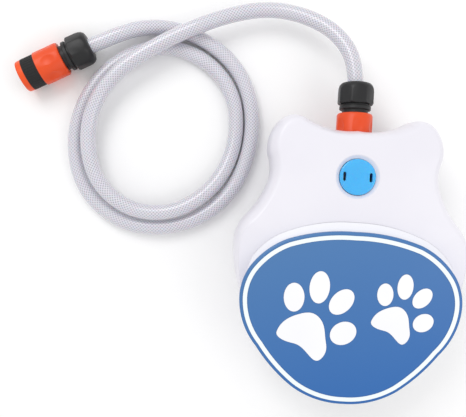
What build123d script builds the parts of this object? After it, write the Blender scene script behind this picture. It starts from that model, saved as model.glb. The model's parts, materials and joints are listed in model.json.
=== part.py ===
from build123d import *
import math
import os

os.makedirs("parts", exist_ok=True)

# Handheld bath sprayer: a mitt-like shower brush for pets, with its supply hose and two quick connectors.
# Frame: +Z up, +Y towards the hose connector, X across. The origin is on the floor, under the middle of
# the object (body and near connector together). The object stands on the tips of its silicone teeth.

# ---------------------------------------------------------------- main dimensions, in mm
WALL = 2.5              # wall of both shells
PARTING = 45.0          # height of the seam between the shells
FLOOR = 12.0            # underside of the bottom shell
NECK_TOP = 78.0         # flat top of the neck, round the button
COVER_EDGE_Y = 9.7      # front edge of the blue hand cover
COVER_EDGE_Z = 87.0     # height of that edge, the highest point of the object
COVER_SLOPE = 0.1263    # the cover falls towards the hand opening, rise over run
COVER_THICK = 4.0
SHELL_DROP = 9.5        # from the cover's top face down to the shell's sloping top
INLAY_DEEP = 1.0        # depth of the recesses for the ring and the paws
INLAY_PROUD = 0.3

PAD_Y = -52.0           # middle of the spray face
PAD_RX = 72.0
PAD_RY = 64.0
TOOTH_TALL = 9.0
TOOTH_PITCH = 12.0

POCKET_HALF = 58.0      # half width of the hand pocket
POCKET_TOP = 59.0
TRAY_FLOOR = 20.4       # underside of the palm tray

BUTTON_Y = 60.7
BUTTON_R = 17.0

AXIS_Z = 45.0           # height of the inlet, on the seam between the shells
CORE_R = 13.0
HOSE_R = 7.75
HOSE_BORE = 5.5

# Half outlines, from the front middle round the +X side to the back middle.
SHELL_HALF = [(0, 107), (31, 109), (47, 115.5), (64, 119), (76.5, 110.5), (83.5, 95), (83.5, 80),
              (80.5, 66), (83.5, 50), (90, 36), (100, 22), (109, 9), (112.3, -5), (111, -25),
              (105, -50), (92, -85), (71, -115), (40, -138), (0, -148)]
COVER_HALF = [(0, 9.7), (30, 8), (61.7, 0.2), (78, -9.2), (95.4, -27.4), (102.8, -46), (103.6, -60),
              (98.1, -83), (86.2, -102), (71.4, -120.5), (50.4, -139.5), (28, -150.5), (0, -154.5)]

# Foot of the frame under the cover: it reaches forward on to the neck, and stays inside the shell's cut edge.
FOOT_HALF = [(0, 17.5), (30, 15.5), (63, 6), (80, -4), (94, -20), (98.5, -38), (98, -54), (90, -80),
             (77, -100), (62, -119), (44, -133), (23, -142.5), (0, -145)]

# How far the shells draw in from their outline at each height.
UPPER = [(PARTING, 0), (57, 0.8), (67, 2.4), (73.5, 5), (77, 8), (NECK_TOP, 10.5)]
LOWER = [(PARTING, 0), (34, 1), (24, 4), (16.5, 9), (12.6, 15), (FLOOR, 18)]

SHELL_SCREWS = [(60, 98), (-60, 98), (95, -18), (-95, -18), (68, -98), (-68, -98)]
COVER_SCREWS = [(60, -6), (-60, -6), (79, -88), (-79, -88)]
LID_SCREW_TURNS = [25, 90, 155, 205, 270, 335]

SLOPE_ANGLE = math.atan(COVER_SLOPE)


# ---------------------------------------------------------------- outlines and shell shapes
def inset_points(points, inset):
    """Moves each point of a half outline inwards, square to the line through its neighbours."""
    moved = []
    for i, (x, y) in enumerate(points):
        before = points[i - 1] if i else (-points[1][0], points[1][1])
        after = points[i + 1] if i + 1 < len(points) else (-points[-2][0], points[-2][1])
        run = Vector(after[0] - before[0], after[1] - before[1]).normalized()
        moved.append((x + run.Y * inset, y - run.X * inset))
    return moved


def draw_outline(half, inset=0.0, mode=Mode.ADD):
    """A closed outline of arcs, each through three points of a half outline, and its mirror image."""
    points = inset_points(half, inset)
    with BuildLine() as line:
        for i in range(0, len(points) - 1, 2):
            ThreePointArc(points[i], points[i + 1], points[i + 2])
        mirror(line.line, about=Plane.YZ)
    make_face(line.edges(), mode=mode)


def shape_of(profile, wall):
    """Half of the body between the seam and its flat end, drawn in by a wall thickness."""
    with BuildPart() as shape:
        for height, inset in profile:
            shift = 0 if height == PARTING else math.copysign(wall, PARTING - height)
            with BuildSketch(Plane.XY.offset(height + shift)):
                draw_outline(SHELL_HALF, inset + wall)
        loft()
    return shape.part


def slope_plane(rise):
    """A plane parallel to the cover's top face, raised by a distance square to it."""
    middle = COVER_THICK / 2
    origin = (0, COVER_EDGE_Y - middle * math.sin(SLOPE_ANGLE), COVER_EDGE_Z)
    normal = (0, -math.sin(SLOPE_ANGLE), math.cos(SLOPE_ANGLE))
    return Plane(origin=origin, x_dir=(1, 0, 0), z_dir=normal).offset(rise)


def down_slope(y):
    """Distance along the slope, from the cover's front edge, of a place with this Y."""
    return (y - COVER_EDGE_Y) / math.cos(SLOPE_ANGLE)


COVER_ON_SLOPE = [(x, down_slope(y)) for x, y in COVER_HALF]


def cover_loft(profile):
    """A body with the cover's outline, from its inset at each rise over the sloping plane."""
    with BuildPart() as shape:
        for rise, inset in profile:
            with BuildSketch(slope_plane(rise)):
                draw_outline(COVER_ON_SLOPE, inset)
        loft(ruled=True)
    return shape.part


def upper_cavity(clearance):
    """The space inside the top shell, drawn in by a clearance."""
    wall = WALL + clearance
    with BuildPart() as space:
        add(shape_of(UPPER, wall))
        split(bisect_by=slope_plane(-SHELL_DROP - wall), keep=Keep.BOTTOM)
    return space.part


def ellipse_disc(low, high, rx, ry):
    """An upright elliptic disc on the middle of the spray face."""
    with BuildPart() as disc:
        with BuildSketch(Plane.XY.offset(low)):
            with Locations((0, PAD_Y)):
                Ellipse(rx, ry)
        extrude(amount=high - low)
    return disc.part


def lid_screw_places():
    """Six places on the flange round the spray face."""
    turns = [math.radians(turn) for turn in LID_SCREW_TURNS]
    return [(75 * math.cos(turn), PAD_Y + 67 * math.sin(turn)) for turn in turns]


def ring(low, high, inner, outer):
    """A plain upright ring."""
    with BuildPart() as band:
        with BuildSketch(Plane.XY.offset(low)):
            Circle(outer)
            Circle(inner, mode=Mode.SUBTRACT)
        extrude(amount=high - low)
    return band.part


# ---------------------------------------------------------------- bottom shell
def connector_collar(radius, start):
    """A bar along the connector's axis, through the front wall."""
    with BuildPart() as bar:
        with BuildSketch(Plane.XZ.offset(-start)):
            with Locations((0, AXIS_Z)):
                Circle(radius)
        extrude(amount=-50)
    return bar.part


def hand_opening(low, high):
    """The block cut out of the back wall for the hand."""
    with BuildPart() as block:
        with BuildSketch(Plane.XY.offset(low)):
            with Locations((0, -150)):
                Rectangle(2 * POCKET_HALF, 64)
        extrude(amount=high - low)
    return block.part


def posts(places, radius, low, high):
    """Round posts or holes at a set of places."""
    with BuildPart() as group:
        with BuildSketch(Plane.XY.offset(low)):
            with Locations(places):
                Circle(radius)
        extrude(amount=high - low)
    return group.part


VALVE_PLACE = [(0, BUTTON_Y)]

# The posts and the collar are what the cavity leaves standing.
with BuildPart() as lower_space:
    add(shape_of(LOWER, WALL))
    add([posts(SHELL_SCREWS, 5, 0, 60), posts(VALVE_PLACE, 10, 0, 28), connector_collar(21.5, 90)],
        mode=Mode.SUBTRACT)

with BuildPart() as bottom_shell:
    add(shape_of(LOWER, 0))
    add([lower_space.part, posts(SHELL_SCREWS, 3.2, 0, 34), posts(SHELL_SCREWS, 1.7, 33, 60),
         posts(VALVE_PLACE, 7, FLOOR + WALL, 60), connector_collar(19, 86),
         ellipse_disc(FLOOR - 2, FLOOR + WALL + 1, PAD_RX + 2.3, PAD_RY + 2.3),
         hand_opening(TRAY_FLOOR + 2, 60)], mode=Mode.SUBTRACT)
bottom_shell.part.label = "bottom_shell"
export_step(bottom_shell.part, "parts/bottom_shell.step")

# ---------------------------------------------------------------- top shell
with BuildPart() as top_outside:
    add(shape_of(UPPER, 0))
    split(bisect_by=slope_plane(-SHELL_DROP), keep=Keep.BOTTOM)

with BuildPart() as upper_space:
    add(upper_cavity(0))
    add([posts(SHELL_SCREWS, 4.5, 40, 90), posts(VALVE_PLACE, 24, 70.6, 90), connector_collar(21.5, 90)],
        mode=Mode.SUBTRACT)

with BuildPart() as button_recess:
    with BuildSketch(Plane.XY.offset(NECK_TOP - 2.4)):
        with Locations(VALVE_PLACE):
            Circle(18.2)
    with BuildSketch(Plane.XY.offset(NECK_TOP + 0.2)):
        with Locations(VALVE_PLACE):
            Circle(20.9)
    loft()

with BuildPart() as cover_screw_holes:
    with BuildSketch(slope_plane(-COVER_THICK)):
        with Locations([(x, down_slope(y)) for x, y in COVER_SCREWS]):
            Circle(1.25)
    extrude(amount=-12)

with BuildPart() as top_shell:
    add(top_outside.part)
    add([upper_space.part, posts(SHELL_SCREWS, 1.55, 40, 52), posts(VALVE_PLACE, BUTTON_R + 0.4, 60, 90),
         button_recess.part, cover_screw_holes.part, connector_collar(19, 86), hand_opening(40, POCKET_TOP)],
        mode=Mode.SUBTRACT)
top_shell.part.label = "top_shell"
export_step(top_shell.part, "parts/top_shell.step")

# ---------------------------------------------------------------- cover frame, the white collar under the cover
FOOT_ON_SLOPE = [(x, down_slope(y)) for x, y in FOOT_HALF]

with BuildPart() as cover_frame:
    with BuildSketch(slope_plane(-SHELL_DROP)):
        draw_outline(FOOT_ON_SLOPE)
    with BuildSketch(slope_plane(-COVER_THICK)):
        draw_outline(COVER_ON_SLOPE, 1)
    loft(ruled=True)
    with BuildSketch(slope_plane(-SHELL_DROP - 1)):
        draw_outline(COVER_ON_SLOPE, 16)
    extrude(amount=12, mode=Mode.SUBTRACT)
    with BuildSketch(slope_plane(-SHELL_DROP - 1)):
        with Locations([(x, down_slope(y)) for x, y in COVER_SCREWS]):
            Circle(1.25)
    extrude(amount=12, mode=Mode.SUBTRACT)
cover_frame.part.label = "cover_frame"
export_step(cover_frame.part, "parts/cover_frame.step")


# ---------------------------------------------------------------- hand cover, ring and paws
LARGE_PAD = [(-67, -87), (-61, -77), (-48, -69.5), (-34, -68), (-25, -76), (-21, -92), (-20, -104),
             (-27.5, -113), (-37, -106.5), (-47, -98.5), (-60, -95)]
LARGE_PAD_MIDDLE = (-43.4, -90.2)
# Each toe: middle, the two half lengths and the turn of the longer one.
LARGE_TOES = [(-53, -53.6, 13.7, 9.6, 93), (-30, -43, 15.3, 9.4, 88), (-8.7, -55.6, 13.9, 9.6, 51),
              (-5, -85.3, 12.8, 10.7, 33)]
SMALL_PAD_MIDDLE = (38.5, -75)
SMALL_SCALE = 0.78


def draw_paw(middle, scale, grow=0.0):
    """A paw print on the sloping plane: a soft pad and four toes, made larger all round by about grow."""
    def place(x, y, size):
        across = middle[0] + (x - LARGE_PAD_MIDDLE[0]) * size
        along = middle[1] + (y - LARGE_PAD_MIDDLE[1]) * size
        return (across, down_slope(along))
    with BuildLine() as line:
        Spline(*[place(x, y, scale + grow / 22) for x, y in LARGE_PAD], periodic=True)
    make_face(line.edges())
    for x, y, long_half, short_half, turn in LARGE_TOES:
        with Locations(place(x, y, scale)):
            Ellipse(long_half * scale + grow, short_half * scale + grow, rotation=turn)


def draw_ring(grow=0.0):
    """The band that runs round the cover, inside its edge."""
    draw_outline(COVER_ON_SLOPE, 3.3 - grow)
    draw_outline(COVER_ON_SLOPE, 7.3 + grow, mode=Mode.SUBTRACT)


with BuildPart() as hand_cover:
    add(cover_loft([(-COVER_THICK, 0.9), (-3.2, 0), (-1.6, 0), (-0.7, 0.3), (-0.2, 1.0), (0, 1.9)]))
    with BuildSketch(slope_plane(-INLAY_DEEP)):
        draw_ring(0.05)
    extrude(amount=5, mode=Mode.SUBTRACT)
    with BuildSketch(slope_plane(-INLAY_DEEP)):
        draw_paw(LARGE_PAD_MIDDLE, 1.0, 0.05)
    extrude(amount=5, mode=Mode.SUBTRACT)
    with BuildSketch(slope_plane(-INLAY_DEEP)):
        draw_paw(SMALL_PAD_MIDDLE, SMALL_SCALE, 0.05)
    extrude(amount=5, mode=Mode.SUBTRACT)
    with BuildSketch(slope_plane(-COVER_THICK)):
        with Locations([(x, down_slope(y)) for x, y in COVER_SCREWS]):
            Circle(1.25)
    extrude(amount=2.5, mode=Mode.SUBTRACT)
hand_cover.part.label = "hand_cover"
export_step(hand_cover.part, "parts/hand_cover.step")

with BuildPart() as cover_ring:
    with BuildSketch(slope_plane(-INLAY_DEEP)):
        draw_ring()
    extrude(amount=INLAY_DEEP + INLAY_PROUD)
cover_ring.part.label = "cover_ring"
export_step(cover_ring.part, "parts/cover_ring.step")

with BuildPart() as large_paw:
    with BuildSketch(slope_plane(-INLAY_DEEP)):
        draw_paw(LARGE_PAD_MIDDLE, 1.0)
    extrude(amount=INLAY_DEEP + INLAY_PROUD)
large_paw.part.label = "large_paw"
export_step(large_paw.part, "parts/large_paw.step")

with BuildPart() as small_paw:
    with BuildSketch(slope_plane(-INLAY_DEEP)):
        draw_paw(SMALL_PAD_MIDDLE, SMALL_SCALE)
    extrude(amount=INLAY_DEEP + INLAY_PROUD)
small_paw.part.label = "small_paw"
export_step(small_paw.part, "parts/small_paw.step")

# ---------------------------------------------------------------- screws
with BuildPart() as shell_screws:
    with BuildSketch(Plane.XY.offset(31.5)):
        with Locations(SHELL_SCREWS):
            Circle(2.9)
    extrude(amount=2.5)
    with BuildSketch(Plane.XY.offset(34)):
        with Locations(SHELL_SCREWS):
            Circle(1.5)
    extrude(amount=16)
    with BuildSketch(Plane.XY.offset(31.5)):
        with Locations(SHELL_SCREWS):
            Rectangle(3.4, 0.8)
            Rectangle(0.8, 3.4)
    extrude(amount=1.2, mode=Mode.SUBTRACT)
shell_screws.part.label = "shell_screws"
export_step(shell_screws.part, "parts/shell_screws.step")

with BuildPart() as cover_screws:
    roof_under = slope_plane(-SHELL_DROP - WALL)
    with BuildSketch(roof_under):
        with Locations([(x, down_slope(y)) for x, y in COVER_SCREWS]):
            Circle(2.6)
    extrude(amount=-1.5)
    with BuildSketch(roof_under):
        with Locations([(x, down_slope(y)) for x, y in COVER_SCREWS]):
            Circle(1.2)
    extrude(amount=SHELL_DROP + WALL - COVER_THICK + 2.2)
cover_screws.part.label = "cover_screws"
export_step(cover_screws.part, "parts/cover_screws.step")

with BuildPart() as lid_screws:
    with BuildSketch(Plane.XY.offset(19.2)):
        with Locations(lid_screw_places()):
            Circle(2.4)
    extrude(amount=1.2)
    with BuildSketch(Plane.XY.offset(14.8)):
        with Locations(lid_screw_places()):
            Circle(1.1)
    extrude(amount=4.4)
lid_screws.part.label = "lid_screws"
export_step(lid_screws.part, "parts/lid_screws.step")


# ---------------------------------------------------------------- spray face, from the floor up
def inside_pad(x, y, margin):
    """True if a place on the spray face is at least a margin inside the pad's edge."""
    return (x / (PAD_RX - margin)) ** 2 + ((y - PAD_Y) / (PAD_RY - margin)) ** 2 < 1


def grid_places(pitch, margin):
    """A staggered grid of places over the spray face."""
    places = []
    for row in range(-6, 7):
        for column in range(-7, 8):
            x = (column + (0.5 if row % 2 else 0)) * pitch
            y = PAD_Y + row * pitch * 0.87
            if inside_pad(x, y, margin):
                places.append((x, y))
    return places


TEETH = grid_places(TOOTH_PITCH, 6)
JETS = [(x, y + TOOTH_PITCH * 0.58) for x, y in grid_places(2 * TOOTH_PITCH, 14)]

with BuildPart() as scrub_pad:
    add(ellipse_disc(TOOTH_TALL, FLOOR, PAD_RX, PAD_RY))
    with BuildPart(mode=Mode.PRIVATE) as tooth:
        with BuildSketch(Plane.XZ):
            with BuildLine():
                Polyline((0.6, 0), (0, 0), (0, TOOTH_TALL + 0.5), (3, TOOTH_TALL + 0.5), (3, TOOTH_TALL), (2, 1.4))
                ThreePointArc((2, 1.4), (1.59, 0.41), (0.6, 0))
            make_face()
        revolve(axis=Axis.Z)
    with Locations([(x, y, 0) for x, y in TEETH]):
        add(tooth.part)
    with BuildSketch(Plane.XY.offset(TOOTH_TALL - 1)):
        with Locations(JETS):
            Circle(1.2)
    extrude(amount=6, mode=Mode.SUBTRACT)
scrub_pad.part.label = "scrub_pad"
export_step(scrub_pad.part, "parts/scrub_pad.step")

with BuildPart() as pad_retainer:
    add(ellipse_disc(FLOOR - 4, FLOOR, PAD_RX + 5, PAD_RY + 5))
    add(ellipse_disc(FLOOR - 3, FLOOR, PAD_RX + 0.1, PAD_RY + 0.1), mode=Mode.SUBTRACT)
    add(ellipse_disc(FLOOR - 5, FLOOR, PAD_RX - 2, PAD_RY - 2), mode=Mode.SUBTRACT)
    chamfer(pad_retainer.edges().group_by(Axis.Z)[0], length=0.9)
pad_retainer.part.label = "pad_retainer"
export_step(pad_retainer.part, "parts/pad_retainer.step")

with BuildPart() as nozzle_plate:
    add(ellipse_disc(FLOOR, 18, PAD_RX + 2, PAD_RY + 2))
    add(ellipse_disc(FLOOR + WALL + 0.1, 18, PAD_RX + 6, PAD_RY + 6))
    add(ellipse_disc(14, 19, PAD_RX - 0.5, PAD_RY - 0.5), mode=Mode.SUBTRACT)
    with BuildSketch(Plane.XY.offset(FLOOR - 1)):
        with Locations(JETS):
            Circle(0.6)
    extrude(amount=4, mode=Mode.SUBTRACT)
    with BuildSketch(Plane.XY.offset(FLOOR + 1.5)):
        with Locations(lid_screw_places()):
            Circle(1.15)
    extrude(amount=6, mode=Mode.SUBTRACT)
nozzle_plate.part.label = "nozzle_plate"
export_step(nozzle_plate.part, "parts/nozzle_plate.step")

with BuildPart() as chamber_gasket:
    add(ellipse_disc(18, 18.6, PAD_RX + 6, PAD_RY + 6))
    add(ellipse_disc(17, 19, PAD_RX - 0.5, PAD_RY - 0.5), mode=Mode.SUBTRACT)
    with BuildSketch(Plane.XY.offset(17)):
        with Locations(lid_screw_places()):
            Circle(1.3)
    extrude(amount=3, mode=Mode.SUBTRACT)
chamber_gasket.part.label = "chamber_gasket"
export_step(chamber_gasket.part, "parts/chamber_gasket.step")

SPIGOT_Y = 3.0
with BuildPart() as chamber_lid:
    add(ellipse_disc(18.6, 20.4, PAD_RX + 6, PAD_RY + 6))
    with Locations((0, SPIGOT_Y, 0)):
        add(ring(20.4, 27.5, 2.8, 3.95))
    with BuildSketch(Plane.XY.offset(18)):
        with Locations((0, SPIGOT_Y)):
            Circle(2.8)
        with Locations(lid_screw_places()):
            Circle(1.15)
    extrude(amount=5, mode=Mode.SUBTRACT)
    with BuildSketch(Plane.XY.offset(19.2)):
        with Locations(lid_screw_places()):
            Circle(2.5)
    extrude(amount=3, mode=Mode.SUBTRACT)
chamber_lid.part.label = "chamber_lid"
export_step(chamber_lid.part, "parts/chamber_lid.step")

# ---------------------------------------------------------------- palm tray, the lining of the hand pocket
with BuildPart() as palm_tray:
    with BuildSketch(Plane.XY.offset(TRAY_FLOOR)):
        with Locations((0, -104)):
            RectangleRounded(2 * POCKET_HALF + 4, 192, 10)
    extrude(amount=60)
    with BuildSketch(Plane.XY.offset(TRAY_FLOOR + 2)):
        with Locations((0, -106)):
            RectangleRounded(2 * POCKET_HALF, 192, 8)
    extrude(amount=60, mode=Mode.SUBTRACT)
    with BuildPart(mode=Mode.PRIVATE) as room:
        add(upper_cavity(0.5))
        add(shape_of(LOWER, WALL + 0.5))
    add(room.part, mode=Mode.INTERSECT)
palm_tray.part.label = "palm_tray"
export_step(palm_tray.part, "parts/palm_tray.step")

# ---------------------------------------------------------------- valve under the button
VALVE_R = 13.0
STEM_R = 5.95
with BuildPart() as valve_body:
    with Locations((0, BUTTON_Y, 0)):
        add(ring(31, 60, 6, VALVE_R))
    with BuildSketch(Plane.XY.offset(28)):
        with Locations((0, BUTTON_Y)):
            Circle(VALVE_R)
    extrude(amount=3)
    with BuildPart(mode=Mode.PRIVATE) as ports:
        with BuildSketch(Plane.XZ.offset(-BUTTON_Y - 8)):
            with Locations((0, AXIS_Z)):
                Circle(11)
        extrude(amount=-(74 - BUTTON_Y - 8))
        with BuildSketch(Plane.XZ.offset(-38)):
            with Locations((0, 40)):
                Circle(3.95)
        extrude(amount=-(BUTTON_Y - 8 - 38))
    add(ports.part)
    with BuildSketch(Plane.XZ.offset(-66 - 1.5)):
        with Locations((0, AXIS_Z)):
            Circle(8)
    extrude(amount=-10, mode=Mode.SUBTRACT)
    with BuildSketch(Plane.XZ.offset(-BUTTON_Y)):
        with Locations((0, AXIS_Z)):
            Circle(3.5)
    extrude(amount=-10, mode=Mode.SUBTRACT)
    with BuildSketch(Plane.XZ.offset(-37)):
        with Locations((0, 40)):
            Circle(2.8)
    extrude(amount=-(BUTTON_Y - 37), mode=Mode.SUBTRACT)
valve_body.part.label = "valve_body"
export_step(valve_body.part, "parts/valve_body.step")

with BuildPart() as valve_cap:
    with Locations((0, BUTTON_Y, 0)):
        add(ring(60, 64, 6.1, 14))
    chamfer(valve_cap.edges().group_by(Axis.Z)[-1], length=0.6)
valve_cap.part.label = "valve_cap"
export_step(valve_cap.part, "parts/valve_cap.step")

SEAL_HEIGHTS = [38.4, 52.0]
with BuildPart() as valve_stem:
    with BuildSketch(Plane.XY.offset(36)):
        with Locations((0, BUTTON_Y)):
            Circle(STEM_R)
    extrude(amount=28)
    with BuildSketch(Plane.XY.offset(64)):
        with Locations((0, BUTTON_Y)):
            Circle(4.5)
    extrude(amount=10)
    with Locations((0, BUTTON_Y, 0)):
        add(ring(42, 48, 4, STEM_R + 1), mode=Mode.SUBTRACT)
        for height in SEAL_HEIGHTS:
            add(ring(height - 0.9, height + 0.9, 4.25, STEM_R + 1), mode=Mode.SUBTRACT)
valve_stem.part.label = "valve_stem"
export_step(valve_stem.part, "parts/valve_stem.step")

with BuildPart() as stem_seals:
    with Locations((0, BUTTON_Y, 0)):
        for height in SEAL_HEIGHTS:
            add(ring(height - 0.8, height + 0.8, 4.3, 5.97))
    chamfer(stem_seals.edges().filter_by(GeomType.CIRCLE), length=0.3)
stem_seals.part.label = "stem_seals"
export_step(stem_seals.part, "parts/stem_seals.step")

with BuildPart() as button_spring:
    with BuildLine(Plane.XY.offset(64.7)) as coil:
        Helix(pitch=2.53, height=7.6, radius=9, center=(0, BUTTON_Y, 0))
    with BuildSketch(Plane(origin=coil.line @ 0, z_dir=coil.line % 0)):
        Circle(0.6)
    sweep(is_frenet=True)
button_spring.part.label = "button_spring"
export_step(button_spring.part, "parts/button_spring.step")

with BuildPart() as button_cap:
    with Locations((0, BUTTON_Y, 0)):
        add(ring(69, 73, 15.5, BUTTON_R))
        add(ring(69, 70.5, 15.5, 18.2))
        add(ring(70, 73, 4.55, 7))
    with BuildSketch(Plane.XY.offset(73)):
        with Locations((0, BUTTON_Y)):
            Circle(BUTTON_R)
    extrude(amount=5)
    fillet(button_cap.edges().group_by(Axis.Z)[-1], radius=1.4)
    # The top is dished for a finger, and two slots let the spring side drain.
    with Locations((0, BUTTON_Y, 78 + 89.2)):
        Sphere(90, mode=Mode.SUBTRACT)
    with BuildSketch(Plane.XY.offset(72)):
        with Locations((12.3, BUTTON_Y), (-12.3, BUTTON_Y)):
            SlotOverall(8.4, 2.7, rotation=90)
        with Locations((0, BUTTON_Y)):
            Circle(4.55)
    extrude(amount=2.2, mode=Mode.SUBTRACT)
    with BuildSketch(Plane.XY.offset(72)):
        with Locations((12.3, BUTTON_Y), (-12.3, BUTTON_Y)):
            SlotOverall(8.4, 2.7, rotation=90)
    extrude(amount=8, mode=Mode.SUBTRACT)
button_cap.part.label = "button_cap"
export_step(button_cap.part, "parts/button_cap.step")

# ---------------------------------------------------------------- outlet tube to the spray chamber
with BuildPart() as outlet_tube:
    with BuildLine() as tube_route:
        FilletPolyline((0, SPIGOT_Y, 21), (0, SPIGOT_Y, 40), (0, 47, 40), radius=12)
    with BuildSketch(Plane.XY.offset(21)):
        with Locations((0, SPIGOT_Y)):
            Circle(6)
            Circle(4, mode=Mode.SUBTRACT)
    sweep(path=tube_route.line)
outlet_tube.part.label = "outlet_tube"
export_step(outlet_tube.part, "parts/outlet_tube.step")

with BuildPart() as tube_clips:
    with Locations((0, SPIGOT_Y, 0)):
        add(ring(22.5, 27, 6.05, 7.2))
    with BuildSketch(Plane.XZ.offset(-40)):
        with Locations((0, 40)):
            Circle(7.2)
            Circle(6.05, mode=Mode.SUBTRACT)
    extrude(amount=-4.5)
tube_clips.part.label = "tube_clips"
export_step(tube_clips.part, "parts/tube_clips.step")


# ---------------------------------------------------------------- turned parts on the connector's axis
def turned(profile):
    """A solid of revolution about +Z from (radius, height) corners."""
    with BuildPart() as body:
        with BuildSketch(Plane.XZ):
            with BuildLine():
                Polyline(*profile, close=True)
            make_face()
        revolve(axis=Axis.Z)
    return body.part


def save_on(plane, solid, name):
    """Places a solid built about +Z on a plane and exports it."""
    with BuildPart() as placed:
        add(solid.moved(plane.location))
    placed.part.label = name
    export_step(placed.part, "parts/" + name + ".step")


NEAR = Plane(origin=(0, 77.5, AXIS_Z), x_dir=(1, 0, 0), z_dir=(0, 1, 0))
FAR_TURN = math.radians(28.05)
FAR_ALONG = (math.cos(FAR_TURN), math.sin(FAR_TURN), 0)
FAR = Plane(origin=(-338, 147.5, 17.4), x_dir=(math.sin(FAR_TURN), -math.cos(FAR_TURN), 0), z_dir=FAR_ALONG)
NIPPLE = Plane(origin=(0, 66, AXIS_Z), x_dir=(1, 0, 0), z_dir=(0, 1, 0))

nipple = turned([(4, 1.6), (7.95, 1.6), (7.95, 8), (12, 8), (12, 11), (7.8, 11), (7.8, 18), (8.7, 19), (8.7, 21),
                 (7.2, 21), (7.2, 24), (8.7, 24), (8.7, 28), (6.6, 29.5), (6.6, 32), (5.2, 32), (5.2, 34.2),
                 (6.6, 34.2), (6.6, 37), (5.8, 38), (4, 38)])
save_on(NIPPLE, nipple, "inlet_nipple")
save_on(NIPPLE, turned([(5.25, 32.1), (6.4, 32.1), (6.72, 32.5), (6.72, 33.7), (6.4, 34.1), (5.25, 34.1)]),
        "nipple_seal")


# ---------------------------------------------------------------- quick connectors, made twice
def connector_core():
    """Inner body: socket for a nipple, flange, threaded cup and hose barb on one axis."""
    barbs = []
    for step in range(4):
        start = 58.5 + 4.2 * step
        barbs += [(4.9, start), (5.45, start + 0.3), (5.45, start + 1.2), (4.9, start + 4.0)]
    outside = [(8.9, 0), (12.2, 0), (CORE_R, 0.8), (CORE_R, 46.5), (12.6, 46.5), (12.6, 50.5), (15.0, 50.5),
               (15.3, 50.9), (15.3, 53.6), (15.0, 54), (13.5, 54), (13.5, 56), (13, 56), (13, 66), (7.85, 66),
               (7.85, 56.5), (5.45, 56.5)]
    inside = [(4.6, 76), (4, 75.6), (4, 33), (7.4, 33), (7.4, 30), (6.75, 30), (6.75, 18.3), (7.4, 17.6),
              (8.9, 17.6)]
    with BuildPart() as core:
        add(turned(outside + barbs + inside))
        with BuildSketch(Plane.XY.offset(9.5)):
            with PolarLocations(10.5, 3, start_angle=90):
                Rectangle(6.5, 6.2)
        extrude(amount=3, mode=Mode.SUBTRACT)
    return core.part


def connector_claws():
    """Three claws that drop into the nipple's groove, through windows in the core."""
    with BuildPart() as claws:
        add(ring(9.7, 12.3, 7.5, 12.9))
        with BuildPart(mode=Mode.PRIVATE) as windows:
            with BuildSketch(Plane.XY.offset(9)):
                with PolarLocations(10.5, 3, start_angle=90):
                    Rectangle(6.4, 6)
            extrude(amount=4)
        add(windows.part, mode=Mode.INTERSECT)
    return claws.part


def connector_sleeve():
    """Sliding outer sleeve with a groove for the grip band and six finger dimples."""
    with BuildPart() as sleeve:
        add(turned([(13.08, 0), (15.4, 0), (16.0, 0.6), (16.3, 2), (16.3, 6), (14.2, 6), (14.2, 20), (17.0, 20),
                    (17.4, 20.5), (17.4, 44.6), (16.6, 46.1), (15.9, 46.5), (13.08, 46.5)]))
        with PolarLocations(36.1, 6, start_angle=30):
            with Locations((0, 0, 33)):
                Sphere(20, mode=Mode.SUBTRACT)
    return sleeve.part


def connector_grip_band():
    """Soft band in the sleeve's groove, ridged along the axis."""
    with BuildPart() as band:
        add(ring(6.05, 19.95, 14.25, 16.5))
        with BuildSketch(Plane.XY.offset(7.2)):
            with PolarLocations(16.75, 36):
                Circle(0.55)
        extrude(amount=11.6, mode=Mode.SUBTRACT)
    return band.part


def connector_collet():
    """Split cone that the nut squeezes on to the hose."""
    with BuildPart() as collet:
        add(turned([(7.8, 66.5), (12.2, 66.5), (9.7, 73.5), (7.8, 73.5)]))
        with BuildSketch(Plane.XY.offset(68.5)):
            with PolarLocations(10, 6, start_angle=30):
                Rectangle(6, 0.9)
        extrude(amount=6, mode=Mode.SUBTRACT)
    return collet.part


def connector_nut():
    """Eight-sided clamp nut, rounded off towards the hose."""
    with BuildPart() as nut:
        with BuildSketch(Plane.XY.offset(56)):
            RegularPolygon(16.5, 8, major_radius=False, rotation=22.5)
        extrude(amount=21)
        fillet(nut.edges().filter_by(Axis.Z), radius=2.2)
        add(turned([(0, 56), (16.6, 56), (17.6, 57.2), (17.6, 68), (17.2, 71.5), (16.2, 74.2), (14.4, 76.2), (12, 77),
                    (0, 77)]), mode=Mode.INTERSECT)
        add(turned([(0, 55), (13.15, 55), (13.15, 66.4), (12.5, 66.5), (9.9, 74), (8.2, 75.2), (8.2, 78), (0, 78)]),
            mode=Mode.SUBTRACT)
    return nut.part


def connector_seal():
    """Lip ring at the end of the nipple's bore."""
    return turned([(4.6, 30.05), (7.3, 30.05), (7.3, 32.95), (5.2, 32.95)])


for side, plane in (("near", NEAR), ("far", FAR)):
    save_on(plane, connector_core(), side + "_core")
    save_on(plane, connector_claws(), side + "_claws")
    save_on(plane, connector_sleeve(), side + "_sleeve")
    save_on(plane, connector_grip_band(), side + "_grip_band")
    save_on(plane, connector_seal(), side + "_seal")
    save_on(plane, connector_collet(), side + "_collet")
    save_on(plane, connector_nut(), side + "_nut")

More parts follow.
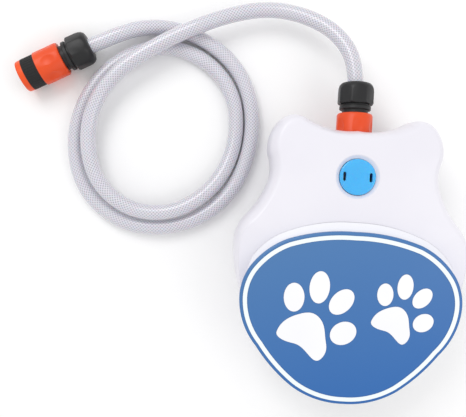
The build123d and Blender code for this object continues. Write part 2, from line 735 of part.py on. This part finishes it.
# ---------------------------------------------------------------- free hose, from the far connector to the near one
FAR_START = tuple(FAR.from_local_coords(Vector(0, 0, 58)))
FAR_LEAVE = tuple(FAR.from_local_coords(Vector(0, 0, 94)))
HOSE_ROUTE = [FAR_START, FAR_LEAVE, (-217, 209, 11.5), (-178, 208.5, 7.8), (-142, 193, 7.8),
              (-113.5, 166.5, 7.8), (-99, 128, 7.8), (-100, 85, 7.8), (-115, 44, 7.8), (-144, 15, 7.8),
              (-184, -0.5, 7.8), (-231, 3, 7.8), (-270.5, 34, 7.8), (-285.5, 81, 7.8), (-277, 130, 7.8),
              (-246.5, 172, 7.8), (-199, 192.5, 7.8), (-153, 181, 7.8), (-120.5, 147, 7.8), (-114, 103, 7.8),
              (-123.5, 64, 10.5), (-147.5, 33, 16.5), (-182, 15, 18.5), (-222, 17.5, 19), (-254.5, 41.5, 19),
              (-268.5, 80, 19), (-265, 122, 20), (-243, 157, 23), (-206, 184, 25), (-164, 207, 25),
              (-125, 223.5, 22), (-88, 231, 22), (-51, 224, 28), (-19, 205, 37), (0, 172.5, 45), (0, 135.5, 45)]


def bend_radii(points):
    """One arc radius for each corner: it takes 0.45 of the shorter run on each side."""
    radii = []
    for before, corner, after in zip(points, points[1:], points[2:]):
        first = Vector(*corner) - Vector(*before)
        second = Vector(*after) - Vector(*corner)
        half_turn = math.radians(first.get_angle(second)) / 2
        radii.append(0.45 * min(first.length, second.length) / math.tan(half_turn))
    return radii


hose_radii = bend_radii(HOSE_ROUTE)
with BuildPart() as hose:
    with BuildLine() as hose_line:
        FilletPolyline(*HOSE_ROUTE, radius=hose_radii)
    start = Vector(*HOSE_ROUTE[0])
    with BuildSketch(Plane(origin=start, z_dir=Vector(*HOSE_ROUTE[1]) - start)):
        Circle(HOSE_R)
        Circle(HOSE_BORE, mode=Mode.SUBTRACT)
    sweep(path=hose_line.line)
hose.part.label = "hose"
export_step(hose.part, "parts/hose.step")

hose_length = sum(edge.length for edge in hose_line.line.edges())
hose_section = math.pi * (HOSE_R ** 2 - HOSE_BORE ** 2)
print("hose length", round(hose_length, 1), "smallest bend", round(min(hose_radii), 1))
print("hose volume over section times length", round(hose.part.volume / (hose_section * hose_length), 4))
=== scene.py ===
import bpy
import json
import math
from mathutils import Matrix, Vector


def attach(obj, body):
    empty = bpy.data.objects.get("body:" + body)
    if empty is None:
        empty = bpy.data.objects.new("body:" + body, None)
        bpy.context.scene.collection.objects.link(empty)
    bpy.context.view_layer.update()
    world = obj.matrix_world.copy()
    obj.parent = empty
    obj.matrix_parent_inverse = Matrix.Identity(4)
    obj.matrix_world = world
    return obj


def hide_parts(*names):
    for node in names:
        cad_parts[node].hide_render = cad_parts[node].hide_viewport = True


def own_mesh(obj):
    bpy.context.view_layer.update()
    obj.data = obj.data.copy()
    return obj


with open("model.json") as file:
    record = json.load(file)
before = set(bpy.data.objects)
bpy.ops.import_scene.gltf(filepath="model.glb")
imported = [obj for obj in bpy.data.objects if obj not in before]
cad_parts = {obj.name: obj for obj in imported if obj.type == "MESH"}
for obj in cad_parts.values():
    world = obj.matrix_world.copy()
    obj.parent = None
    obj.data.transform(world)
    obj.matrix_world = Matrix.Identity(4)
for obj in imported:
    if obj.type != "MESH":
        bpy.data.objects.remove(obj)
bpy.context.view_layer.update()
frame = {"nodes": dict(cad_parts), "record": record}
scene = bpy.context.scene
record = frame["record"]

# ---------------------------------------------------------------- sizes, in metres
MM = 0.001
HOSE_R = 7.75 * MM
HOSE_STEP = 3 * MM                  # spacing of the rings of the hose's mesh
HOSE_SIDES = 40
BRAID_PER_METRE = 290               # strands crossed along a metre of hose
BRAID_ROUND = 14                    # strands crossed once round the hose
FAR_TURN = math.radians(28.05)      # heading of the far connector
FAR_MOUTH = Vector((-0.338, 0.1475, 0.0174))
FAR_ALONG = Vector((math.cos(FAR_TURN), math.sin(FAR_TURN), 0))
FLOOR_HALF = 4.0

# the hose's route from the far connector to the near one, in mm
HOSE_ROUTE = [tuple(FAR_MOUTH / MM + FAR_ALONG * 58), tuple(FAR_MOUTH / MM + FAR_ALONG * 94),
              (-217, 209, 11.5), (-178, 208.5, 7.8), (-142, 193, 7.8),
              (-113.5, 166.5, 7.8), (-99, 128, 7.8), (-100, 85, 7.8), (-115, 44, 7.8), (-144, 15, 7.8),
              (-184, -0.5, 7.8), (-231, 3, 7.8), (-270.5, 34, 7.8), (-285.5, 81, 7.8), (-277, 130, 7.8),
              (-246.5, 172, 7.8), (-199, 192.5, 7.8), (-153, 181, 7.8), (-120.5, 147, 7.8), (-114, 103, 7.8),
              (-123.5, 64, 10.5), (-147.5, 33, 16.5), (-182, 15, 18.5), (-222, 17.5, 19), (-254.5, 41.5, 19),
              (-268.5, 80, 19), (-265, 122, 20), (-243, 157, 23), (-206, 184, 25), (-164, 207, 25),
              (-125, 223.5, 22), (-88, 231, 22), (-51, 224, 28), (-19, 205, 37), (0, 172.5, 45),
              (0, 135.5, 45)]

# ---------------------------------------------------------------- camera, straight down
CAMERA_AT = (-0.1142, 0.0249, 0.635)
CAMERA_RIGHT = Vector((0.99837, 0.05704, 0))
CAMERA_UP = Vector((-0.05704, 0.99837, 0))

scene.view_settings.view_transform = "Standard"
camera = bpy.data.objects.new("camera", bpy.data.cameras.new("camera"))
scene.collection.objects.link(camera)
scene.camera = camera
camera.data.lens = 46.35
camera.data.sensor_width = 36
camera.data.clip_start = 0.01
camera.data.clip_end = 20
camera.matrix_world = Matrix(((CAMERA_RIGHT.x, CAMERA_UP.x, 0, CAMERA_AT[0]),
                              (CAMERA_RIGHT.y, CAMERA_UP.y, 0, CAMERA_AT[1]),
                              (0, 0, 1, CAMERA_AT[2]), (0, 0, 0, 1)))


# ---------------------------------------------------------------- hose
def nurbs_points(route):
    """Points of the hose's centreline, read from a NURBS curve through the same route as the CAD hose."""
    data = bpy.data.curves.new("hose_line", "CURVE")
    data.dimensions = "3D"
    spline = data.splines.new("NURBS")
    spline.points.add(len(route) - 1)
    for point, place in zip(spline.points, route):
        point.co = (place[0] * MM, place[1] * MM, place[2] * MM, 1)
    spline.order_u = 3
    spline.use_endpoint_u = True
    spline.resolution_u = 24
    carrier = bpy.data.objects.new("hose_line", data)
    scene.collection.objects.link(carrier)
    bpy.context.view_layer.update()
    mesh = bpy.data.meshes.new_from_object(carrier.evaluated_get(bpy.context.evaluated_depsgraph_get()))
    points = [v.co.copy() for v in mesh.vertices]
    bpy.data.objects.remove(carrier)
    bpy.data.meshes.remove(mesh)
    return points


def spaced(points, step):
    """The same line with points at equal steps."""
    runs = [(b - a).length for a, b in zip(points, points[1:])]
    total = sum(runs)
    count = round(total / step)
    result, i, walked = [], 0, 0.0
    for k in range(count + 1):
        target = total * k / count
        while i < len(runs) - 1 and walked + runs[i] < target:
            walked += runs[i]
            i += 1
        share = (target - walked) / max(runs[i], 1e-9)
        result.append(points[i].lerp(points[i + 1], min(share, 1)))
    return result


def tube_mesh(name, line, radius, sides):
    """A tube along a line, with a UV map: metres along it, and turns round it."""
    ahead = (line[1] - line[0]).normalized()
    side = ahead.cross(Vector((0, 0, 1))).normalized()
    verts, along, walked = [], [], 0.0
    for i, point in enumerate(line):
        after, before = line[min(i + 1, len(line) - 1)], line[max(i - 1, 0)]
        ahead = (after - before).normalized()
        side = (side - ahead * side.dot(ahead)).normalized()
        lift = ahead.cross(side)
        if i:
            walked += (point - line[i - 1]).length
        along.append(walked)
        for k in range(sides):
            turn = 2 * math.pi * k / sides
            verts.append(point + (side * math.cos(turn) + lift * math.sin(turn)) * radius)
    faces, uvs = [], []
    for i in range(len(line) - 1):
        for k in range(sides):
            k2 = (k + 1) % sides
            faces.append((i * sides + k, i * sides + k2, (i + 1) * sides + k2, (i + 1) * sides + k))
            u0, u1 = along[i], along[i + 1]
            uvs += [(u0, k / sides), (u0, (k + 1) / sides), (u1, (k + 1) / sides), (u1, k / sides)]
    mesh = bpy.data.meshes.new(name)
    mesh.from_pydata(verts, [], faces)
    layer = mesh.uv_layers.new(name="along")
    for loop, uv in zip(layer.data, uvs):
        loop.uv = uv
    for polygon in mesh.polygons:
        polygon.use_smooth = True
    piece = bpy.data.objects.new(name, mesh)
    scene.collection.objects.link(piece)
    return piece


hose_line = spaced(nurbs_points(HOSE_ROUTE), HOSE_STEP)
hose_tube = tube_mesh("hose_tube", hose_line, HOSE_R, HOSE_SIDES)


# ---------------------------------------------------------------- materials
def shader(name, color, roughness, coat=0.0, metallic=0.0, transmission=0.0, subsurface=0.0):
    """A material with a principled shader; returns the material, its nodes, links and shader node."""
    material = bpy.data.materials.new(name)
    material.use_nodes = True
    nodes, links = material.node_tree.nodes, material.node_tree.links
    main = nodes["Principled BSDF"]
    main.inputs["Base Color"].default_value = (*color, 1)
    main.inputs["Roughness"].default_value = roughness
    main.inputs["Coat Weight"].default_value = coat
    main.inputs["Coat Roughness"].default_value = 0.12
    main.inputs["Metallic"].default_value = metallic
    main.inputs["Transmission Weight"].default_value = transmission
    main.inputs["Subsurface Weight"].default_value = subsurface
    main.inputs["Subsurface Scale"].default_value = 0.004
    return material, nodes, links, main


def place_nodes(nodes, links, scale):
    """Noise over the object's own coordinates."""
    where = nodes.new("ShaderNodeTexCoord")
    noise = nodes.new("ShaderNodeTexNoise")
    noise.inputs["Scale"].default_value = scale
    noise.inputs["Detail"].default_value = 4
    links.new(where.outputs["Object"], noise.inputs["Vector"])
    return where, noise


def mix_color(nodes, links, factor, first, second):
    """A colour mixed from two by a factor socket."""
    mix = nodes.new("ShaderNodeMix")
    mix.data_type = "RGBA"
    links.new(factor, mix.inputs[0])
    for socket, value in ((mix.inputs[6], first), (mix.inputs[7], second)):
        if isinstance(value, tuple):
            socket.default_value = (*value, 1)
        else:
            links.new(value, socket)
    return mix.outputs[2]


def map_range(nodes, links, value, low, high, to_low, to_high):
    """A socket's value moved from one range to another."""
    node = nodes.new("ShaderNodeMapRange")
    links.new(value, node.inputs["Value"])
    node.inputs["From Min"].default_value = low
    node.inputs["From Max"].default_value = high
    node.inputs["To Min"].default_value = to_low
    node.inputs["To Max"].default_value = to_high
    return node.outputs["Result"]


def soften(nodes, links, main, bevel, grain=None, grain_depth=0.0):
    """Rounded edges in the shading, and a fine surface grain."""
    round_edge = nodes.new("ShaderNodeBevel")
    round_edge.samples = 6
    round_edge.inputs["Radius"].default_value = bevel
    result = round_edge.outputs["Normal"]
    if grain is not None:
        bump = nodes.new("ShaderNodeBump")
        bump.inputs["Strength"].default_value = 0.35
        bump.inputs["Distance"].default_value = grain_depth
        links.new(grain, bump.inputs["Height"])
        links.new(result, bump.inputs["Normal"])
        result = bump.outputs["Normal"]
    links.new(result, main.inputs["Normal"])


def plastic(name, color, other, roughness, coat, bevel=0.4 * MM, grain=0.02 * MM, scale=900, **more):
    """Moulded plastic: two close shades in soft clouds, a fine grain and softened edges."""
    material, nodes, links, main = shader(name, color, roughness, coat, **more)
    where, cloud = place_nodes(nodes, links, 14)
    fine = nodes.new("ShaderNodeTexNoise")
    fine.inputs["Scale"].default_value = scale
    links.new(where.outputs["Object"], fine.inputs["Vector"])
    factor = map_range(nodes, links, cloud.outputs["Fac"], 0.35, 0.65, 0, 1)
    links.new(mix_color(nodes, links, factor, color, other), main.inputs["Base Color"])
    rough = map_range(nodes, links, fine.outputs["Fac"], 0.3, 0.7, roughness - 0.04, roughness + 0.05)
    links.new(rough, main.inputs["Roughness"])
    soften(nodes, links, main, bevel, fine.outputs["Fac"], grain)
    return material


def cover_material():
    """Blue cover with painted shading: a painted highlight towards the plateau's upper left, painted shade
    deeper towards the mouth.
    """
    material, nodes, links, main = shader("cover_blue", (0.05, 0.2, 0.5), 0.42, 0.1)
    where, cloud = place_nodes(nodes, links, 6)
    apart = nodes.new("ShaderNodeSeparateXYZ")
    links.new(where.outputs["Object"], apart.inputs[0])
    # painted light and shade: the blue is painted paler to the upper left and deeper towards the mouth,
    # standing in for the dome's shading
    painted_light_across = map_range(nodes, links, apart.outputs["X"], -0.1, 0.1, 0.35, -0.05)
    painted_shade_down = map_range(nodes, links, apart.outputs["Y"], -0.15, 0.01, 0.0, 0.75)
    total = nodes.new("ShaderNodeMath")
    total.operation = "ADD"
    total.use_clamp = True
    links.new(painted_light_across, total.inputs[0])
    links.new(painted_shade_down, total.inputs[1])
    # deep blue is the painted shade, paler blue the painted highlight
    painted_shaded_blue = mix_color(nodes, links, total.outputs[0], (0.002, 0.112, 0.41), (0.062, 0.185, 0.42))
    faint = map_range(nodes, links, cloud.outputs["Fac"], 0.3, 0.7, 0.0, 0.12)
    links.new(mix_color(nodes, links, faint, painted_shaded_blue, (0.05, 0.20, 0.48)), main.inputs["Base Color"])
    fine = nodes.new("ShaderNodeTexNoise")
    fine.inputs["Scale"].default_value = 1400
    links.new(where.outputs["Object"], fine.inputs["Vector"])
    soften(nodes, links, main, 0.8 * MM, fine.outputs["Fac"], 0.02 * MM)
    return material


def hose_material():
    """Clear PVC over a fine braid: two crossing sets of light strands under a faintly milky wall."""
    material, nodes, links, main = shader("hose_clear", (0.62, 0.62, 0.68), 0.16, 0.6, subsurface=0.15)
    uv = nodes.new("ShaderNodeUVMap")
    uv.uv_map = "along"
    apart = nodes.new("ShaderNodeSeparateXYZ")
    links.new(uv.outputs["UV"], apart.inputs[0])
    waves = []
    for sense in (1, -1):
        along = nodes.new("ShaderNodeMath")
        along.operation = "MULTIPLY"
        along.inputs[1].default_value = 2 * math.pi * BRAID_PER_METRE
        links.new(apart.outputs["X"], along.inputs[0])
        turn = nodes.new("ShaderNodeMath")
        turn.operation = "MULTIPLY_ADD"
        turn.inputs[1].default_value = sense * 2 * math.pi * BRAID_ROUND
        links.new(apart.outputs["Y"], turn.inputs[0])
        links.new(along.outputs[0], turn.inputs[2])
        wave = nodes.new("ShaderNodeMath")
        wave.operation = "SINE"
        links.new(turn.outputs[0], wave.inputs[0])
        waves.append(map_range(nodes, links, wave.outputs[0], 0.1, 0.8, 0, 1))
    strand = nodes.new("ShaderNodeMath")
    strand.operation = "MAXIMUM"
    links.new(waves[0], strand.inputs[0])
    links.new(waves[1], strand.inputs[1])
    braid = mix_color(nodes, links, strand.outputs[0], (0.44, 0.43, 0.49), (0.74, 0.73, 0.79))
    _, cloud = place_nodes(nodes, links, 25)
    milky = map_range(nodes, links, cloud.outputs["Fac"], 0.35, 0.65, 0.0, 0.3)
    links.new(mix_color(nodes, links, milky, braid, (0.66, 0.65, 0.71)), main.inputs["Base Color"])
    bump = nodes.new("ShaderNodeBump")
    bump.inputs["Strength"].default_value = 0.3
    bump.inputs["Distance"].default_value = 0.15 * MM
    links.new(strand.outputs[0], bump.inputs["Height"])
    links.new(bump.outputs["Normal"], main.inputs["Normal"])
    return material


MATERIALS = {
    "shell_white": plastic("shell_white", (0.82, 0.805, 0.865), (0.80, 0.785, 0.85), 0.34, 0.2, 1.2 * MM),
    # frame_white is painted lighter than shell_white: a painted highlight for the collar wall that faces the
    # light
    "frame_white": plastic("frame_white", (0.88, 0.88, 0.93), (0.86, 0.86, 0.92), 0.3, 0.25, 0.8 * MM),
    "cover_blue": cover_material(),
    "ring_white": plastic("ring_white", (0.86, 0.93, 0.95), (0.90, 0.95, 0.97), 0.35, 0.1, 0.3 * MM),
    "paw_white": plastic("paw_white", (0.93, 0.93, 0.96), (0.90, 0.90, 0.94), 0.35, 0.2, 0.3 * MM),
    "steel": plastic("steel", (0.55, 0.55, 0.56), (0.48, 0.48, 0.5), 0.3, 0.0, metallic=1.0),
    "tray_grey": plastic("tray_grey", (0.42, 0.43, 0.47), (0.38, 0.39, 0.43), 0.5, 0.0),
    "seal_rubber": plastic("seal_rubber", (0.02, 0.02, 0.02), (0.03, 0.03, 0.03), 0.6, 0.0),
    "pad_silicone": plastic("pad_silicone", (0.03, 0.17, 0.45), (0.04, 0.20, 0.50), 0.5, 0.05,
                            subsurface=0.15),
    "inner_tube": plastic("inner_tube", (0.5, 0.5, 0.52), (0.45, 0.45, 0.47), 0.45, 0.1),
    "valve_plastic": plastic("valve_plastic", (0.7, 0.7, 0.7), (0.66, 0.66, 0.67), 0.45, 0.05),
    "button_blue": plastic("button_blue", (0.03, 0.42, 0.86), (0.05, 0.48, 0.90), 0.14, 0.8, 0.8 * MM,
                           0.0, subsurface=0.25),
    "connector_black": plastic("connector_black", (0.004, 0.004, 0.005), (0.008, 0.008, 0.009), 0.45, 0.0),
    "hose_clear": hose_material(),
    "connector_orange": plastic("connector_orange", (0.86, 0.082, 0.001), (0.78, 0.062, 0.001), 0.42,
                                0.04, 0.6 * MM),
    "band_rubber": plastic("band_rubber", (0.006, 0.006, 0.0065), (0.010, 0.010, 0.010), 0.7, 0.0, 0.2 * MM),
    "nut_black": plastic("nut_black", (0.003, 0.003, 0.004), (0.006, 0.006, 0.007), 0.42, 0.0, 0.8 * MM),
}

for part in record["subparts"]:
    node = frame["nodes"][part["node"]]
    node.data.materials.clear()
    node.data.materials.append(MATERIALS[part["material_slot"]])
    if "custom_normal" in node.data.attributes:
        node.data.attributes.remove(node.data.attributes["custom_normal"])
    for polygon in node.data.polygons:
        polygon.use_smooth = True
    weld = node.modifiers.new("weld", "WELD")
    weld.merge_threshold = 0.00002
    split = node.modifiers.new("split", "EDGE_SPLIT")
    split.split_angle = math.radians(28)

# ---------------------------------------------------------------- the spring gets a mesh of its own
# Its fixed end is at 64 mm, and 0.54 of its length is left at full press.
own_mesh(frame["nodes"]["button_spring"])

# ---------------------------------------------------------------- the hose stands for its CAD node
hose_tube.data.materials.append(MATERIALS["hose_clear"])
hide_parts("hose")
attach(hose_tube, "body")

# ---------------------------------------------------------------- floor and light
floor_mesh = bpy.data.meshes.new("floor")
FLOOR_CORNERS = [(x * FLOOR_HALF, y * FLOOR_HALF, -0.5 * MM) for x, y in ((-1, -1), (1, -1), (1, 1), (-1, 1))]
floor_mesh.from_pydata(FLOOR_CORNERS, [], [(0, 1, 2, 3)])
floor = bpy.data.objects.new("floor", floor_mesh)
scene.collection.objects.link(floor)
floor_material, _, _, floor_shader = shader("floor", (0.97, 0.97, 0.97), 0.8)
floor_mesh.materials.append(floor_material)

world = bpy.data.worlds.new("studio")
scene.world = world
world.use_nodes = True
world.node_tree.nodes["Background"].inputs["Color"].default_value = (1, 1, 1, 1)
world.node_tree.nodes["Background"].inputs["Strength"].default_value = 0.83


def soft_box(name, place, aim, size, power):
    """A large soft square light."""
    data = bpy.data.lights.new(name, "AREA")
    data.shape = "SQUARE"
    data.size = size
    data.energy = power
    lamp = bpy.data.objects.new(name, data)
    scene.collection.objects.link(lamp)
    lamp.location = place
    lamp.rotation_mode = "QUATERNION"
    lamp.rotation_quaternion = (Vector(aim) - Vector(place)).to_track_quat("-Z", "Y")


soft_box("key", (-0.7, 0.9, 1.3), (-0.05, 0.05, 0), 0.8, 7)
soft_box("fill", (0.9, -0.3, 1.1), (0, 0, 0), 0.9, 3)
